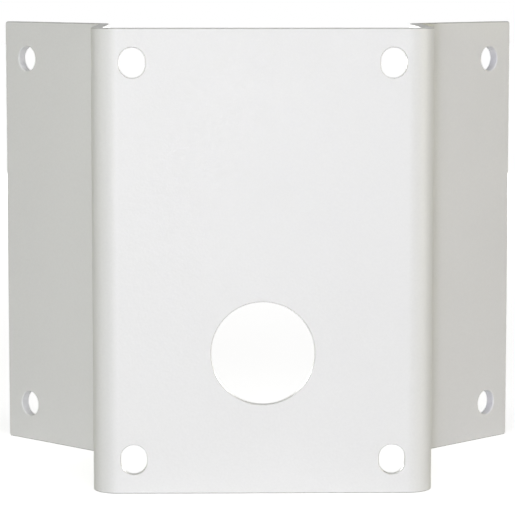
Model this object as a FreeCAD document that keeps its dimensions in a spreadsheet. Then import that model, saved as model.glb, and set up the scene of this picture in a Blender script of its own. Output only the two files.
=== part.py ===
import FreeCAD, Part
import os
from math import cos, radians, sin, tan

import Sketcher

# Corner bracket for a wall camera: one strip of steel sheet, cut, pierced and folded.
# The plate faces forwards, two side walls run straight back from it, and two wings
# turn outwards from them to lie on the two faces of a building's corner. All its top
# edges are level, and so are all its bottom edges. X is across, Y is backwards and
# Z is up. The origin is at the middle of the bracket's box, level with its foot.

NODE = "corner_bracket"

# Driving sizes in millimetres, angles in degrees
SIZES = {
    "sheet_thickness": 4.0,
    "bend_inside": 6.0,            # inside radius of all four folds
    "plate_width": 132.0,          # over the outsides of the side walls
    "plate_height": 180.0,
    "wall_depth": 86.0,            # plate's front to the sharp corner of wall and wing
    "wing_length": 60.0,           # sharp corner of wall and wing to the wing's end
    "wing_angle": 45.0,            # between the wing and the plate
    "corner_radius": 1.2,          # the wings' free corners
    "edge_radius": 0.5,            # the strip's outer edges, linished before coating
    "rim_chamfer": 0.5,            # the rims of the slots and holes, deburred
    "slot_width": 10.0,
    "slot_travel": 1.6,            # length of the slot's straight sides
    "slot_from_side": 16.0,        # outside of the side wall to the slot's middle
    "slot_from_end": 13.25,        # top or bottom edge to the slot's middle
    "cable_hole": 40.0,            # diameter
    "cable_hole_height": 54.8,     # bottom edge to the hole's middle
    "wing_hole": 10.4,             # diameter
    "wing_hole_from_end": 13.8,    # wing's end to the hole's middle
    "wing_hole_from_edge": 15.7,   # top or bottom edge to the hole's middle
}

# The bracket's depth, from the plate's front to the rounded back edges of the wings
SLOPE = "(Sizes.wing_angle * 1 deg)"
DEPTH = (f"Sizes.wall_depth + Sizes.wing_length * sin{SLOPE} + Sizes.sheet_thickness * cos{SLOPE}"
         f" - Sizes.edge_radius * (sin{SLOPE} + cos{SLOPE} - 1)")

# How a sketch numbers a curve's points, and its own origin
START, END, CENTRE = range(1, 4)
ORIGIN = (-1, 1)


def point(x, y):
    return FreeCAD.Vector(x, y, 0)


def line(a, b):
    return Part.LineSegment(a, b)


def arc(middle, radius, first, last):
    """An arc from angle first to angle last, anticlockwise, in degrees."""
    circle = Part.Circle(middle, FreeCAD.Vector(0, 0, 1), radius)
    return Part.ArcOfCircle(circle, radians(first), radians(last))


def add_sheet(doc):
    """The table of driving sizes."""
    sheet = doc.addObject("Spreadsheet::Sheet", "Sizes")
    for row, (name, value) in enumerate(SIZES.items(), start=1):
        sheet.set(f"A{row}", name)
        sheet.set(f"B{row}", str(value))
        sheet.setAlias(f"B{row}", name)
    doc.recompute()


def add_sketch(body, name, role):
    """An empty sketch on one of the body's own planes."""
    sketch = body.newObject("Sketcher::SketchObject", name)
    plane = next(item for item in body.Origin.OriginFeatures if item.Role == role)
    sketch.AttachmentSupport = [(plane, "")]
    sketch.MapMode = "FlatFace"
    return sketch


def size(sketch, name, expression, *constraint):
    """A constraint whose value follows the table of sizes."""
    index = sketch.addConstraint(Sketcher.Constraint(*constraint))
    sketch.renameConstraint(index, name)
    sketch.setExpression(f"Constraints.{name}", expression)


def rule(sketch, *constraint):
    """A constraint with no value, such as a tangency."""
    sketch.addConstraint(Sketcher.Constraint(*constraint))


def draw_section(sketch):
    """The right half of the strip's section, seen from above."""
    side = SIZES["plate_width"] / 2
    inner = SIZES["bend_inside"]
    thick = SIZES["sheet_thickness"]
    outer = inner + thick
    angle = radians(SIZES["wing_angle"])
    turn = 90 - SIZES["wing_angle"]
    fold_y = SIZES["wall_depth"] - inner * tan(radians(turn / 2))
    along = point(cos(angle), sin(angle))
    through = point(-sin(angle), cos(angle))
    sharp = point(side, SIZES["wall_depth"])
    bend = point(side - outer, outer)
    fold = point(side + inner, fold_y)
    tip = sharp + along * SIZES["wing_length"]

    curves = {
        "plate_front": line(point(0, 0), point(bend.x, 0)),
        "bend_outer": arc(bend, outer, -90, 0),
        "wall_outer": line(point(side, outer), point(side, fold_y)),
        "fold_inner": arc(fold, inner, 180 - turn, 180),
        "wing_front": line(fold + through * inner, tip),
        "wing_end": line(tip, tip + through * thick),
        "wing_back": line(tip + through * thick, fold + through * outer),
        "fold_outer": arc(fold, outer, 180 - turn, 180),
        "wall_inner": line(point(side - thick, fold_y), point(side - thick, outer)),
        "bend_inner": arc(bend, inner, -90, 0),
        "plate_back": line(point(bend.x, thick), point(0, thick)),
        "middle": line(point(0, thick), point(0, 0)),
    }
    at = {name: sketch.addGeometry(curve) for name, curve in curves.items()}
    corner = sketch.addGeometry(Part.Point(sharp), True)

    smooth_joins = (
        ("plate_front", END, "bend_outer", START),
        ("bend_outer", END, "wall_outer", START),
        ("wall_outer", END, "fold_inner", END),
        ("fold_inner", START, "wing_front", START),
        ("wing_back", END, "fold_outer", START),
        ("fold_outer", END, "wall_inner", START),
        ("wall_inner", END, "bend_inner", END),
        ("bend_inner", START, "plate_back", START),
    )
    for first, first_end, second, second_end in smooth_joins:
        rule(sketch, "Tangent", at[first], first_end, at[second], second_end)
    sharp_joins = (
        ("wing_front", "wing_end"),
        ("wing_end", "wing_back"),
        ("plate_back", "middle"),
        ("middle", "plate_front"),
    )
    for first, second in sharp_joins:
        rule(sketch, "Coincident", at[first], END, at[second], START)

    rule(sketch, "Coincident", at["plate_front"], START, *ORIGIN)
    rule(sketch, "Horizontal", at["plate_front"])
    rule(sketch, "Vertical", at["middle"])
    rule(sketch, "Vertical", at["wall_outer"])
    rule(sketch, "Coincident", at["bend_inner"], CENTRE, at["bend_outer"], CENTRE)
    rule(sketch, "Coincident", at["fold_inner"], CENTRE, at["fold_outer"], CENTRE)
    rule(sketch, "Parallel", at["wall_inner"], at["wall_outer"])
    rule(sketch, "Parallel", at["wing_back"], at["wing_front"])
    rule(sketch, "Perpendicular", at["wing_end"], at["wing_front"])
    rule(sketch, "PointOnObject", corner, START, at["wall_outer"])
    rule(sketch, "PointOnObject", corner, START, at["wing_front"])

    size(sketch, "sheet", "Sizes.sheet_thickness", "Distance", at["middle"], thick)
    size(sketch, "wing_sheet", "Sizes.sheet_thickness", "Distance", at["wing_end"], thick)
    size(sketch, "bend", "Sizes.bend_inside", "Radius", at["bend_inner"], inner)
    size(sketch, "fold", "Sizes.bend_inside", "Radius", at["fold_inner"], inner)
    size(sketch, "half_width", "Sizes.plate_width / 2", "DistanceX", *ORIGIN, corner, START, side)
    size(sketch, "depth", "Sizes.wall_depth", "DistanceY", *ORIGIN, corner, START, sharp.y)
    size(sketch, "wing", "Sizes.wing_length", "Distance", corner, START, at["wing_end"], START,
         SIZES["wing_length"])
    size(sketch, "angle", "Sizes.wing_angle * 1 deg", "Angle", at["wing_front"], angle)


def draw_slot(sketch, name, x, y, x_rule, y_rule):
    """An upright slot with round ends, x and y at the middle of its lower end."""
    radius = SIZES["slot_width"] / 2
    travel = SIZES["slot_travel"]
    low, high = point(x, y), point(x, y + travel)
    reach = point(radius, 0)
    bottom = sketch.addGeometry(arc(low, radius, 180, 360))
    right = sketch.addGeometry(line(low + reach, high + reach))
    top = sketch.addGeometry(arc(high, radius, 0, 180))
    left = sketch.addGeometry(line(high - reach, low - reach))
    rule(sketch, "Tangent", bottom, END, right, START)
    rule(sketch, "Tangent", right, END, top, START)
    rule(sketch, "Tangent", top, END, left, START)
    rule(sketch, "Tangent", left, END, bottom, START)
    rule(sketch, "Vertical", right)
    rule(sketch, "Equal", bottom, top)
    size(sketch, f"{name}_radius", "Sizes.slot_width / 2", "Radius", bottom, radius)
    size(sketch, f"{name}_travel", "Sizes.slot_travel", "Distance", right, travel)
    size(sketch, f"{name}_x", x_rule, "DistanceX", *ORIGIN, bottom, CENTRE, x)
    size(sketch, f"{name}_y", y_rule, "DistanceY", *ORIGIN, bottom, CENTRE, y)


def draw_hole(sketch, name, x, y, diameter, x_rule, y_rule, diameter_rule):
    """A round hole. With no rule for x, its middle is straight above the origin."""
    circle = Part.Circle(point(x, y), FreeCAD.Vector(0, 0, 1), diameter / 2)
    hole = sketch.addGeometry(circle)
    size(sketch, f"{name}_diameter", diameter_rule, "Diameter", hole, diameter)
    if x_rule:
        size(sketch, f"{name}_x", x_rule, "DistanceX", *ORIGIN, hole, CENTRE, x)
    else:
        rule(sketch, "Vertical", *ORIGIN, hole, CENTRE)
    size(sketch, f"{name}_y", y_rule, "DistanceY", *ORIGIN, hole, CENTRE, y)


def add_half_sheet(body):
    """The right half of the folded strip."""
    sketch = add_sketch(body, "HalfSection", "XY_Plane")
    draw_section(sketch)
    pad = body.newObject("PartDesign::Pad", "HalfSheet")
    pad.Profile = sketch
    pad.setExpression("Length", "Sizes.plate_height")
    return pad


def add_pocket(body, name, sketch):
    """A cut straight through the sheet, away from the sketch's own side."""
    pocket = body.newObject("PartDesign::Pocket", name)
    pocket.Profile = sketch
    pocket.Type = "ThroughAll"
    return pocket


def add_slots(body):
    """The two slots down the plate's right side, for the camera arm's bolts."""
    sketch = add_sketch(body, "SlotSketch", "XZ_Plane")
    x = SIZES["plate_width"] / 2 - SIZES["slot_from_side"]
    low = SIZES["slot_from_end"] - SIZES["slot_travel"] / 2
    high = SIZES["plate_height"] - SIZES["slot_from_end"] - SIZES["slot_travel"] / 2
    x_rule = "Sizes.plate_width / 2 - Sizes.slot_from_side"
    draw_slot(sketch, "low", x, low, x_rule, "Sizes.slot_from_end - Sizes.slot_travel / 2")
    draw_slot(sketch, "high", x, high, x_rule,
              "Sizes.plate_height - Sizes.slot_from_end - Sizes.slot_travel / 2")
    return add_pocket(body, "Slots", sketch)


def add_wing_holes(body):
    """The two wall bolts' holes, square to the right wing.

    The sketch's plane is the front of the wing. Its own x runs along the wing from
    the sharp corner of wall and wing, and its own y runs up from the bottom edge.
    """
    sketch = add_sketch(body, "WingHoleSketch", "XZ_Plane")
    sketch.AttachmentOffset = FreeCAD.Placement(
        FreeCAD.Vector(SIZES["plate_width"] / 2, 0, -SIZES["wall_depth"]),
        FreeCAD.Rotation(FreeCAD.Vector(0, 1, 0), SIZES["wing_angle"]),
    )
    sketch.setExpression("AttachmentOffset.Base.x", "Sizes.plate_width / 2")
    sketch.setExpression("AttachmentOffset.Base.z", "-Sizes.wall_depth")
    sketch.setExpression("AttachmentOffset.Rotation.Angle", "Sizes.wing_angle * 1 deg")
    x = SIZES["wing_length"] - SIZES["wing_hole_from_end"]
    low = SIZES["wing_hole_from_edge"]
    high = SIZES["plate_height"] - low
    x_rule = "Sizes.wing_length - Sizes.wing_hole_from_end"
    draw_hole(sketch, "low", x, low, SIZES["wing_hole"], x_rule,
              "Sizes.wing_hole_from_edge", "Sizes.wing_hole")
    draw_hole(sketch, "high", x, high, SIZES["wing_hole"], x_rule,
              "Sizes.plate_height - Sizes.wing_hole_from_edge", "Sizes.wing_hole")
    return add_pocket(body, "WingHoles", sketch)


def add_mirror(body, features):
    """The left half, the mirror image of the right one."""
    mirror = body.newObject("PartDesign::Mirrored", "BothHalves")
    plane = next(item for item in body.Origin.OriginFeatures if item.Role == "YZ_Plane")
    mirror.Originals = features
    mirror.MirrorPlane = (plane, [""])
    mirror.Refine = True
    body.Tip = mirror
    return mirror


def add_cable_hole(body):
    """The large round hole low in the plate, for the camera's cables."""
    sketch = add_sketch(body, "CableHoleSketch", "XZ_Plane")
    draw_hole(sketch, "cable", 0, SIZES["cable_hole_height"], SIZES["cable_hole"], None,
              "Sizes.cable_hole_height", "Sizes.cable_hole")
    return add_pocket(body, "CableHole", sketch)


def edge_names(shape, wanted):
    """The names of the edges that wanted says yes to."""
    return [f"Edge{index}" for index, edge in enumerate(shape.Edges, start=1) if wanted(edge)]


def free_corners(shape):
    """The short edges through the sheet, at the four corners of the wings."""
    def is_corner(edge):
        if not isinstance(edge.Curve, Part.Line):
            return False
        level = abs(edge.tangentAt(edge.FirstParameter).z) < 0.01
        return level and abs(edge.Length - SIZES["sheet_thickness"]) < 0.01
    return edge_names(shape, is_corner)


def rims(shape):
    """The edges round the slots and holes: the inner outlines of the sheet's faces."""
    inner = []
    for face in shape.Faces:
        for wire in face.Wires:
            if not wire.isSame(face.OuterWire):
                inner.extend(wire.Edges)
    return edge_names(shape, lambda edge: any(edge.isSame(other) for other in inner))


def outer_edges(shape):
    """The edges where two faces meet squarely, which leaves out folds and rims."""
    def is_square(edge):
        middle = edge.valueAt((edge.FirstParameter + edge.LastParameter) / 2)
        faces = shape.ancestorsOfType(edge, Part.Face)
        ways = [face.normalAt(*face.Surface.parameter(middle)) for face in faces]
        return len(ways) == 2 and abs(ways[0].dot(ways[1])) < 0.1
    return edge_names(shape, is_square)


def dress_edges(doc, body, kind, name, choose, prop, expression):
    """Rounds or chamfers the edges that choose picks from the body as it stands."""
    doc.recompute()
    base = body.Tip
    feature = body.newObject(kind, name)
    feature.Base = (base, choose(base.Shape))
    feature.setExpression(prop, expression)


def check_document(doc):
    """Stops if a feature failed, or if a solid came out broken."""
    for item in doc.Objects:
        if "Invalid" in item.State or "Error" in item.State:
            raise RuntimeError(f"{item.Label} failed: {item.State}")
        if item.isDerivedFrom("Sketcher::SketchObject") and not item.FullyConstrained:
            raise RuntimeError(f"{item.Label} isn't fully constrained")
        if item.isDerivedFrom("PartDesign::Feature"):
            if item.Shape.isNull() or not item.Shape.isValid():
                raise RuntimeError(f"{item.Label} has no valid shape")


def check_cut(feature):
    """Stops if a pocket missed the sheet."""
    if feature.Shape.Volume >= feature.BaseFeature.Shape.Volume - 1:
        raise RuntimeError(f"{feature.Label} cuts nothing")


def build():
    doc = FreeCAD.newDocument("CornerBracket")
    add_sheet(doc)
    body = doc.addObject("PartDesign::Body", "Body")
    body.Label = NODE

    half_sheet = add_half_sheet(body)
    doc.recompute()
    slots = add_slots(body)
    wing_holes = add_wing_holes(body)
    doc.recompute()
    add_mirror(body, [half_sheet, slots, wing_holes])
    cable_hole = add_cable_hole(body)
    dress_edges(doc, body, "PartDesign::Fillet", "FreeCorners", free_corners,
                "Radius", "Sizes.corner_radius")
    dress_edges(doc, body, "PartDesign::Chamfer", "Rims", rims, "Size", "Sizes.rim_chamfer")
    dress_edges(doc, body, "PartDesign::Fillet", "OuterEdges", outer_edges,
                "Radius", "Sizes.edge_radius")
    body.setExpression("Placement.Base.y", f"-({DEPTH}) / 2")
    doc.recompute()

    check_document(doc)
    for pocket in (slots, wing_holes, cable_hole):
        check_cut(pocket)
    return body


body = build()
os.makedirs("parts", exist_ok=True)
body.Shape.exportStep(f"parts/{body.Label}.step")
box = body.Shape.optimalBoundingBox(False, False)
print(f"{body.Label}: {box.XLength:.2f} x {box.YLength:.2f} x {box.ZLength:.2f} mm,"
      f" {body.Shape.Volume / 1000:.1f} cm3, {len(body.Shape.Solids)} solid")
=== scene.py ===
from math import cos, pi, radians, sin, tan

import bmesh
import bpy
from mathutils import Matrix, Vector


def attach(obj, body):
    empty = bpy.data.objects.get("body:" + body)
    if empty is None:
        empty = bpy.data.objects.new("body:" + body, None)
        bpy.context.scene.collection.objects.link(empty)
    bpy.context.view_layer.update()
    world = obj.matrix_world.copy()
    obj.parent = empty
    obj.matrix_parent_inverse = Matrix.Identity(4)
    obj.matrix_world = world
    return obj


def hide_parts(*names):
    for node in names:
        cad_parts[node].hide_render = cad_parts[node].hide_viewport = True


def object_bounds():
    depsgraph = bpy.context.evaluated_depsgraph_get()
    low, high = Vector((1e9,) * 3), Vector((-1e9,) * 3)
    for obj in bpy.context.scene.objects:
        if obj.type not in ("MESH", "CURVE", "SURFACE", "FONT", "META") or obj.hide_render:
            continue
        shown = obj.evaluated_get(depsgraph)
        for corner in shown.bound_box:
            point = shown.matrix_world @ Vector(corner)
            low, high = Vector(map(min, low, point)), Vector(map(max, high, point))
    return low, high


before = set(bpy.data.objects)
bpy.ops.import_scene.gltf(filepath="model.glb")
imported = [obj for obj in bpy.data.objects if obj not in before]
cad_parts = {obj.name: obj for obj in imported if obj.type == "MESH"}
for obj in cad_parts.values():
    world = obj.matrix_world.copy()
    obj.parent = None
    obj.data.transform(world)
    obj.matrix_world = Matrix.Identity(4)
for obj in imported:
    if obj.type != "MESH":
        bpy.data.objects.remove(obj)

CAD_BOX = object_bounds()
MM = 0.001

# The folded sheet's own sizes, in metres, as the drawing gives them
SHEET = 4 * MM
FOLD_INSIDE = 6 * MM
FOLD_OUTSIDE = FOLD_INSIDE + SHEET
PLATE_HALF = 66 * MM
PLATE_HEIGHT = 180 * MM
PLATE_FRONT = CAD_BOX[0][1]
WALL_DEPTH = 86 * MM
WING_LENGTH = 60 * MM
WING_ANGLE = radians(45)
CORNER_RADIUS = 1.2 * MM
EDGE_RADIUS = 0.5 * MM
SLOT_WIDTH = 10 * MM
SLOT_TRAVEL = 1.6 * MM
SLOT_FROM_SIDE = 16 * MM
SLOT_FROM_END = 13.25 * MM
CABLE_HOLE = 40 * MM
CABLE_HOLE_HEIGHT = 54.8 * MM
WING_HOLE = 10.4 * MM
WING_HOLE_FROM_END = 13.8 * MM
WING_HOLE_FROM_EDGE = 15.7 * MM

# Half of the plate's flat stretch, from its middle to where a front fold starts
FLAT_HALF = PLATE_HALF - FOLD_OUTSIDE

# Where the right side wall would meet its wing with no bend, and the way the wing runs from there
WALL_END = Vector((PLATE_HALF, PLATE_FRONT + WALL_DEPTH, 0))
ALONG_WING = Vector((cos(WING_ANGLE), sin(WING_ANGLE), 0))

# How many flats stand for each round stretch. A slot's 62 sides leave no corner level with
# its middle, so that each half of the punch moves whole
SQUARE_FOLD_FLATS = 24
CORNER_FLATS = 6
EDGE_FLATS = 4
WING_HOLE_SIDES = 64
SLOT_SIDES = 62
CABLE_HOLE_SIDES = 128

# Points nearer than this are taken for the same place, or are merged
SAME_PLACE = 0.01 * MM
MERGED = 0.001 * MM

# An edge that turns by more than the first angle is rounded, and one that turns by less than
# the second is shaded as smooth
ROUNDED_ABOVE = radians(50)
SMOOTH_BELOW = radians(35)

# The powder coat: tones, roughness, and the width and height of what makes its skin uneven
COAT_TONES = ("#eaeae9", "#ededec")
COAT_ROUGHNESS = (0.425, 0.515)
COAT_IOR = 1.5
GRAIN_WIDTH = 0.9 * MM
GRAIN_HEIGHT = 0.018 * MM
PEEL_WIDTH = 2.5 * MM
PEEL_HEIGHT = 0.036 * MM
DRIFT_WIDTH = 45 * MM
NOISE_LOW, NOISE_HIGH = 0.3, 0.7

# Painted shade along the sheared outline, a darker tone standing in for the shade on the rounded
# edges: its tone, and its reach in from the edge, which takes in the rounding but not the line
# where that runs out into the flat
EDGE_SHADE_TONE = "#c4c4c2"
EDGE_SHADE_REACH = 0.9 * EDGE_RADIUS

# The studio paper: its tone, how white the camera sees it near the bracket and far away,
# and the distances from the bracket's middle, in metres, that count as near and far
FLOOR_SIDE = 12
PAPER_TONE = "#d8d8d8"
PAPER_WHITE = (0.75, 0.97)
PAPER_REACH = (0.3, 2.0)

# The room's own light, and the soft boxes: name, place, side in metres, power in watts, tint
ROOM_LIGHT = 0.05
LAMPS = (
    ("front_box", (-0.20, -3.0, 0.10), 0.18, 25.1, "#ebebff"),
    ("near_front_box", (-0.05, -1.3, 0.10), 0.15, 3.2, "#ebebff"),
    ("left_box", (-0.45, -1.22, 0.25), 0.25, 2.3, "#fdffd0"),
    ("far_left_box", (-1.18, -0.55, 0.20), 0.25, 0.85, "#ffffc0"),
    ("right_box", (1.20, -0.48, 0.20), 0.25, 3.5, "#fffad8"),
    ("top_box", (0.0, -0.45, 1.48), 0.40, 5.2, "#ffffff"),
    ("back_left_box", (-0.43, 1.50, 0.09), 0.16, 7.5, "#ffffff"),
    ("back_right_box", (0.43, 1.50, 0.09), 0.16, 7.5, "#ffffff"),
)
BRACKET_MIDDLE = Vector((0, 0, PLATE_HEIGHT / 2))

# The camera as fitted to the photograph: its place, its turns down and right in radians, its
# lens in millimetres, and how far it sees
CAMERA_PLACE = (-0.0170, -1.05717, 0.2023)
CAMERA_DOWN = 0.1106
CAMERA_RIGHT = 0.0150
CAMERA_LENS = 181.6
CAMERA_REACH = 50

# The numbers of a colour mix's sockets: its share and its two colours, and what comes out
MIX_SHARE, MIX_FIRST, MIX_SECOND = 0, 6, 7
MIX_RESULT = 2


def linear(code):
    """An sRGB hex colour as the linear colour that the shaders take."""
    parts = [int(code[i:i + 2], 16) / 255 for i in (1, 3, 5)]
    return [p / 12.92 if p <= 0.04045 else ((p + 0.055) / 1.055) ** 2.4 for p in parts] + [1.0]


def add_node(tree, kind, links=None, **settings):
    """A node with its settings. links gives its inputs, each a value or another node's output."""
    node = tree.nodes.new(kind)
    for name, value in settings.items():
        setattr(node, name, value)
    for name, value in (links or {}).items():
        if isinstance(value, bpy.types.NodeSocket):
            tree.links.new(value, node.inputs[name])
        else:
            node.inputs[name].default_value = value
    return node


def select(mesh_part, wanted):
    """Selects only the edges or corners, in edit mode, that wanted says yes to."""
    bpy.ops.mesh.select_mode(type={"edges": "EDGE", "verts": "VERT"}[mesh_part])
    bpy.ops.mesh.select_all(action="DESELECT")
    mesh = bmesh.from_edit_mesh(bpy.context.edit_object.data)
    for item in getattr(mesh, mesh_part):
        if wanted(item):
            item.select = True
    mesh.select_flush_mode()
    bmesh.update_edit_mesh(bpy.context.edit_object.data)


def name_piece(name):
    """Names the primitive just added, and puts its place, turn and scale into its mesh."""
    piece = bpy.context.object
    piece.name = name
    piece.data.name = name
    bpy.ops.object.transform_apply(location=True, rotation=True, scale=True)
    return piece


def apply_modifier(piece, kind, **settings):
    """Adds a modifier to the piece and applies it."""
    bpy.ops.object.select_all(action="DESELECT")
    piece.select_set(True)
    bpy.context.view_layer.objects.active = piece
    modifier = piece.modifiers.new(kind.title(), kind)
    for name, value in settings.items():
        setattr(modifier, name, value)
    bpy.ops.object.modifier_apply(modifier=modifier.name)


def fold_right_half():
    """Folds the strip's outer skin in edit mode: plate, front fold, side wall, rear fold, wing."""
    def upright_at(x, y):
        return lambda edge: all((v.co.xy - Vector((x, y))).length < SAME_PLACE for v in edge.verts)

    front_fold_y = PLATE_FRONT + FOLD_OUTSIDE
    select("edges", upright_at(FLAT_HALF, PLATE_FRONT))
    bpy.ops.mesh.spin(steps=SQUARE_FOLD_FLATS, angle=-pi / 2, center=(FLAT_HALF, front_fold_y, 0),
                      axis=(0, 0, 1))

    turn = pi / 2 - WING_ANGLE
    fold_reach = FOLD_INSIDE * tan(turn / 2)
    rear_fold_y = WALL_END.y - fold_reach
    select("edges", upright_at(PLATE_HALF, front_fold_y))
    wall = (0, rear_fold_y - front_fold_y, 0)
    bpy.ops.mesh.extrude_region_move(TRANSFORM_OT_translate={"value": wall})

    select("edges", upright_at(PLATE_HALF, rear_fold_y))
    flats = round(SQUARE_FOLD_FLATS * turn / (pi / 2))
    bpy.ops.mesh.spin(steps=flats, angle=turn, center=(PLATE_HALF + FOLD_INSIDE, rear_fold_y, 0),
                      axis=(0, 0, 1))

    select("edges", upright_at(*(WALL_END + ALONG_WING * fold_reach).xy))
    wing = ALONG_WING * (WING_LENGTH - fold_reach)
    bpy.ops.mesh.extrude_region_move(TRANSFORM_OT_translate={"value": wing})

    wing_end = (WALL_END + ALONG_WING * WING_LENGTH).xy
    select("verts", lambda corner: (corner.co.xy - wing_end).length < SAME_PLACE)
    bpy.ops.mesh.bevel(offset=CORNER_RADIUS, segments=CORNER_FLATS, affect="VERTICES")


def fold_strip():
    """The folded strip as a sheet of its full thickness, with no holes yet."""
    bpy.ops.object.select_all(action="DESELECT")
    bpy.ops.mesh.primitive_plane_add(size=1, rotation=(pi / 2, 0, 0),
                                     location=(FLAT_HALF / 2, PLATE_FRONT, PLATE_HEIGHT / 2))
    bpy.context.object.scale = (FLAT_HALF, PLATE_HEIGHT, 1)
    strip = name_piece("folded_sheet")
    bpy.ops.object.mode_set(mode="EDIT")
    fold_right_half()

    # Lines through the middles of the holes to come, so that no face has to reach round a hole
    for place, across in (((PLATE_HALF - SLOT_FROM_SIDE, 0, 0), (1, 0, 0)),
                          ((0, 0, WING_HOLE_FROM_EDGE), (0, 0, 1)),
                          ((0, 0, PLATE_HEIGHT - WING_HOLE_FROM_EDGE), (0, 0, 1))):
        bpy.ops.mesh.select_all(action="SELECT")
        bpy.ops.mesh.bisect(plane_co=place, plane_no=across)
    bpy.ops.object.mode_set(mode="OBJECT")
    apply_modifier(strip, "MIRROR", use_axis=(True, False, False), merge_threshold=MERGED)

    bpy.ops.object.mode_set(mode="EDIT")
    bpy.ops.mesh.select_all(action="SELECT")
    bpy.ops.mesh.remove_doubles(threshold=MERGED)
    bpy.ops.mesh.normals_make_consistent(inside=False)
    bpy.ops.object.mode_set(mode="OBJECT")
    apply_modifier(strip, "SOLIDIFY", thickness=SHEET, offset=-1, use_even_offset=True)
    return strip


def add_punch(radius, sides, place, turn=0):
    """A round punch through the sheet at place, turned about the upright axis."""
    bpy.ops.object.select_all(action="DESELECT")
    bpy.ops.mesh.primitive_cylinder_add(vertices=sides, radius=radius, depth=4 * SHEET,
                                        location=place, rotation=(pi / 2, 0, turn))
    return name_piece("punch")


def slot_punch(height):
    """A punch with straight sides, for one of the slots down the plate's right side."""
    place = (PLATE_HALF - SLOT_FROM_SIDE, PLATE_FRONT, height)
    punch = add_punch(SLOT_WIDTH / 2, SLOT_SIDES, place)
    bpy.ops.object.mode_set(mode="EDIT")
    for way in (-1, 1):
        select("verts", lambda corner: (corner.co.z - height) * way > 0)
        bpy.ops.transform.translate(value=(0, 0, way * SLOT_TRAVEL / 2))
    bpy.ops.object.mode_set(mode="OBJECT")
    return punch


def wing_punch(height):
    """A punch square to the right wing, for one of its wall bolt holes."""
    place = WALL_END + ALONG_WING * (WING_LENGTH - WING_HOLE_FROM_END)
    return add_punch(WING_HOLE / 2, WING_HOLE_SIDES, (place.x, place.y, height), WING_ANGLE)


def cut(sheet, punch):
    """Takes the punch's shape out of the sheet."""
    apply_modifier(sheet, "BOOLEAN", object=punch, operation="DIFFERENCE", solver="EXACT")
    bpy.data.objects.remove(punch)


def pierce(sheet):
    """The four slots in the plate, the two holes in each wing, and the cable hole."""
    for make_punch, from_edge in ((slot_punch, SLOT_FROM_END), (wing_punch, WING_HOLE_FROM_EDGE)):
        for height in (from_edge, PLATE_HEIGHT - from_edge):
            punch = make_punch(height)
            apply_modifier(punch, "MIRROR", use_axis=(True, False, False))
            cut(sheet, punch)
    cut(sheet, add_punch(CABLE_HOLE / 2, CABLE_HOLE_SIDES, (0, PLATE_FRONT, CABLE_HOLE_HEIGHT)))


def soften_edges(sheet):
    """Rounds every cut edge, as deburring and the coat do, and shades the folds as smooth."""
    apply_modifier(sheet, "BEVEL", width=EDGE_RADIUS, segments=EDGE_FLATS, limit_method="ANGLE",
                   angle_limit=ROUNDED_ABOVE, use_clamp_overlap=False)
    bpy.ops.object.shade_smooth_by_angle(angle=SMOOTH_BELOW)
    # The larger face takes the whole of a shared normal, so that the flats stay flat to their edges
    apply_modifier(sheet, "WEIGHTED_NORMAL", keep_sharp=True, weight=100, thresh=1e-7)


def mark_painted_edge_shade(sheet):
    """Marks the strip's sheared outline, where the coat gets its painted edge shade, for the coat to
    read.
    """
    edge_shade = sheet.data.attributes.new("painted_edge_shade", "FLOAT", "POINT")
    for mark, corner in zip(edge_shade.data, sheet.data.vertices):
        x, y, z = corner.co
        along = (Vector((abs(x), y, 0)) - WALL_END).dot(ALONG_WING)
        mark.value = min(z, PLATE_HEIGHT - z, WING_LENGTH - along) < EDGE_SHADE_REACH


def start_material(name):
    """A material with no nodes yet, and its node tree."""
    material = bpy.data.materials.new(name)
    material.use_nodes = True
    material.node_tree.nodes.clear()
    return material, material.node_tree


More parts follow.
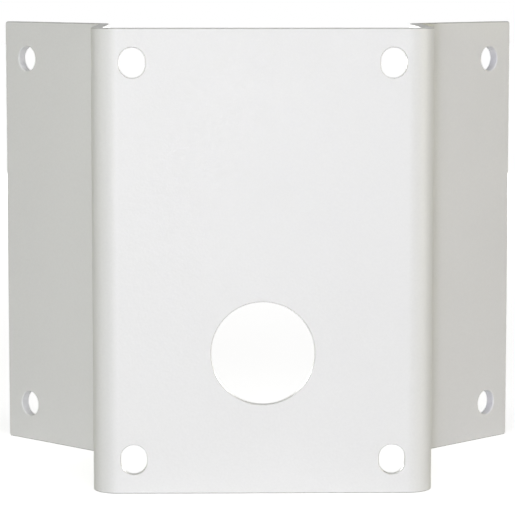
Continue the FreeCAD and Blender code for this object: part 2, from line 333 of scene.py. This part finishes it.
def powder_coat():
    """Polyester powder coat on steel, sprayed dry and baked in one coat.

    To the eye: an even, faintly warm white, between satin and matt. The melted grains
    leave a fine pebbled skin, which shows only where a light is mirrored in it.
    """
    material, tree = start_material("powder_coat_off_white_satin")
    place = add_node(tree, "ShaderNodeTexCoord").outputs["Object"]

    # The melted grains, drawn as coarse as the picture needs to show them
    grain = add_node(tree, "ShaderNodeTexNoise", {"Vector": place, "Scale": 1 / GRAIN_WIDTH,
                                                  "Detail": 0.0})
    # The coat's slow unevenness from the spray gun's passes
    drift = add_node(tree, "ShaderNodeTexNoise", {"Vector": place, "Scale": 1 / DRIFT_WIDTH,
                                                  "Detail": 2.0})
    # The orange peel that the melting coat is left with, from crest to crest
    peel = add_node(tree, "ShaderNodeTexNoise", {"Vector": place, "Scale": 1 / PEEL_WIDTH,
                                                 "Detail": 1.0, "Roughness": 0.4})

    uneven = add_node(tree, "ShaderNodeMath", {0: drift.outputs["Fac"], 1: grain.outputs["Fac"]},
                      operation="ADD")
    tone = add_node(tree, "ShaderNodeMapRange", {"Value": uneven.outputs[0],
                                                 "From Min": 2 * NOISE_LOW,
                                                 "From Max": 2 * NOISE_HIGH})
    colour = add_node(tree, "ShaderNodeMix", {MIX_SHARE: tone.outputs["Result"],
                                              MIX_FIRST: linear(COAT_TONES[0]),
                                              MIX_SECOND: linear(COAT_TONES[1])},
                      data_type="RGBA")
    # Painted shade: a darker tone over the rounded sheared edges stands in for the shade that falls
    # there
    edge_shade = add_node(tree, "ShaderNodeAttribute", attribute_name="painted_edge_shade")
    with_edge_shade = add_node(tree, "ShaderNodeMix", {MIX_SHARE: edge_shade.outputs["Fac"],
                                             MIX_FIRST: colour.outputs[MIX_RESULT],
                                             MIX_SECOND: linear(EDGE_SHADE_TONE)},
                     data_type="RGBA")

    satin = add_node(tree, "ShaderNodeMapRange", {"Value": grain.outputs["Fac"],
                                                  "From Min": NOISE_LOW, "From Max": NOISE_HIGH,
                                                  "To Min": COAT_ROUGHNESS[0],
                                                  "To Max": COAT_ROUGHNESS[1]})
    rolling = add_node(tree, "ShaderNodeBump", {"Height": peel.outputs["Fac"], "Strength": 1.0,
                                                "Distance": PEEL_HEIGHT})
    pebbled = add_node(tree, "ShaderNodeBump", {"Height": grain.outputs["Fac"], "Strength": 1.0,
                                                "Distance": GRAIN_HEIGHT,
                                                "Normal": rolling.outputs["Normal"]})
    coat = add_node(tree, "ShaderNodeBsdfPrincipled", {"Base Color": with_edge_shade.outputs[MIX_RESULT],
                                                       "Roughness": satin.outputs["Result"],
                                                       "Normal": pebbled.outputs["Normal"],
                                                       "IOR": COAT_IOR})
    add_node(tree, "ShaderNodeOutputMaterial", {"Surface": coat.outputs["BSDF"]})
    return material


def is_seen(tree):
    """1 for the camera, and for what metal or glass mirrors or lets through, and 0 for other light."""
    path = add_node(tree, "ShaderNodeLightPath").outputs
    mirrored = add_node(tree, "ShaderNodeMath", {0: path["Is Camera Ray"], 1: path["Is Glossy Ray"]},
                        operation="MAXIMUM")
    seen = add_node(tree, "ShaderNodeMath", {0: mirrored.outputs[0],
                                             1: path["Is Transmission Ray"]},
                    operation="MAXIMUM")
    return seen.outputs[0]


def white_paper():
    """Seamless white studio paper. To the eye it is plain white with only the object's shadow."""
    material, tree = start_material("studio_paper_white")
    lit = add_node(tree, "ShaderNodeBsdfDiffuse", {"Color": linear(PAPER_TONE)})
    place = add_node(tree, "ShaderNodeTexCoord").outputs["Object"]
    away = add_node(tree, "ShaderNodeVectorMath", {0: place}, operation="LENGTH")
    white_out = add_node(tree, "ShaderNodeMapRange", {"Value": away.outputs["Value"],
                                                      "From Min": PAPER_REACH[0],
                                                      "From Max": PAPER_REACH[1],
                                                      "To Min": PAPER_WHITE[0],
                                                      "To Max": PAPER_WHITE[1]})
    glow = add_node(tree, "ShaderNodeMath", {0: is_seen(tree), 1: white_out.outputs["Result"]},
                    operation="MULTIPLY")
    white = add_node(tree, "ShaderNodeEmission", {"Color": linear("#ffffff"),
                                                  "Strength": glow.outputs[0]})
    both = add_node(tree, "ShaderNodeAddShader", {0: lit.outputs[0], 1: white.outputs[0]})
    add_node(tree, "ShaderNodeOutputMaterial", {"Surface": both.outputs[0]})
    return material


def light_room():
    """The room's own even light, which the camera sees as plain white."""
    world = bpy.data.worlds.new("studio")
    bpy.context.scene.world = world
    world.use_nodes = True
    tree = world.node_tree
    tree.nodes.clear()
    strength = add_node(tree, "ShaderNodeMapRange", {"Value": is_seen(tree), "To Min": ROOM_LIGHT,
                                                     "To Max": 1.0})
    glow = add_node(tree, "ShaderNodeBackground", {"Color": linear("#ffffff"),
                                                   "Strength": strength.outputs["Result"]})
    add_node(tree, "ShaderNodeOutputWorld", {"Surface": glow.outputs["Background"]})


def add_lamp(name, place, side, power, tint):
    """A square soft box at place, turned towards the bracket's middle."""
    lamp = bpy.data.lights.new(name, "AREA")
    lamp.size = side
    lamp.energy = power
    lamp.color = linear(tint)[:3]
    box = bpy.data.objects.new(name, lamp)
    bpy.context.scene.collection.objects.link(box)
    box.location = place
    box.rotation_euler = (BRACKET_MIDDLE - box.location).to_track_quat("-Z", "Y").to_euler()


def add_camera():
    """The camera at the photograph's viewing angle."""
    camera = bpy.data.objects.new("camera", bpy.data.cameras.new("camera"))
    bpy.context.scene.collection.objects.link(camera)
    camera.location = CAMERA_PLACE
    camera.rotation_euler = (pi / 2 - CAMERA_DOWN, 0, -CAMERA_RIGHT)
    camera.data.lens = CAMERA_LENS
    camera.data.clip_end = CAMERA_REACH
    bpy.context.scene.camera = camera


sheet = fold_strip()
pierce(sheet)
soften_edges(sheet)
# Marks the outline that the coat darkens with painted edge shade
mark_painted_edge_shade(sheet)
sheet.data.materials.clear()
sheet.data.materials.append(powder_coat())
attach(sheet, "root")
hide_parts("corner_bracket")

bpy.ops.object.select_all(action="DESELECT")
bpy.ops.mesh.primitive_plane_add(size=FLOOR_SIDE, location=(0, 0, 0))
floor = bpy.context.object
floor.name = "floor"
floor.data.materials.append(white_paper())

light_room()
for lamp in LAMPS:
    add_lamp(*lamp)
add_camera()
bpy.context.scene.view_settings.view_transform = "Standard"
